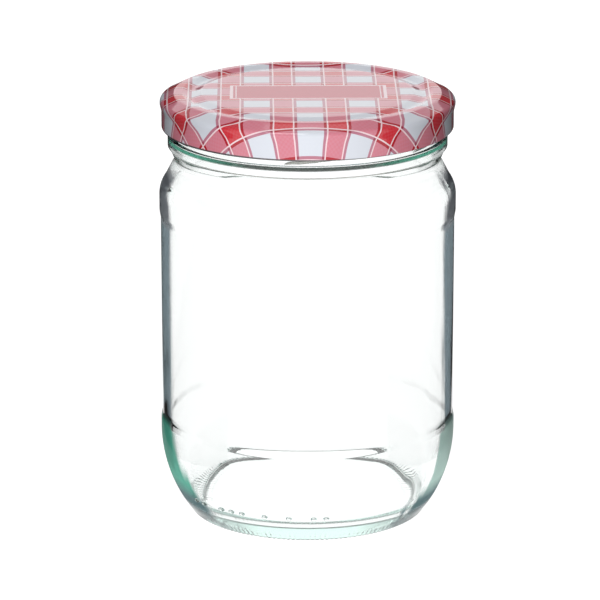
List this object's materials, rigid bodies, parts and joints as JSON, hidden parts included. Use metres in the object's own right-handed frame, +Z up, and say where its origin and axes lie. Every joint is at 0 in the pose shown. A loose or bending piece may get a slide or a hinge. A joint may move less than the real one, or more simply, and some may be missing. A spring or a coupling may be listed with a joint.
{
  "type": "preserving jar",
  "caption": "Empty clear glass preserving jar with a recessed label panel, rounded heel and push-up base, shut with a printed tinplate twist-off lid.",
  "frame": {"origin": "centre of the standing ring, on the surface that the jar stands on", "axes": "+Z up along the jar's axis, out through its mouth; -Y towards the front, where the mould dots and the label plate on the lid face"},
  "size_m": [0.086, 0.086, 0.125],
  "materials": {
    "glass": "clear pressed soda-lime glass with a faint green edge",
    "tinplate": "tinplate printed with a red and white gingham check under clear lacquer"
  },
  "bodies": {
    "root": {"jar": "glass", "lid": "tinplate"}
  },
  "joints": []
}
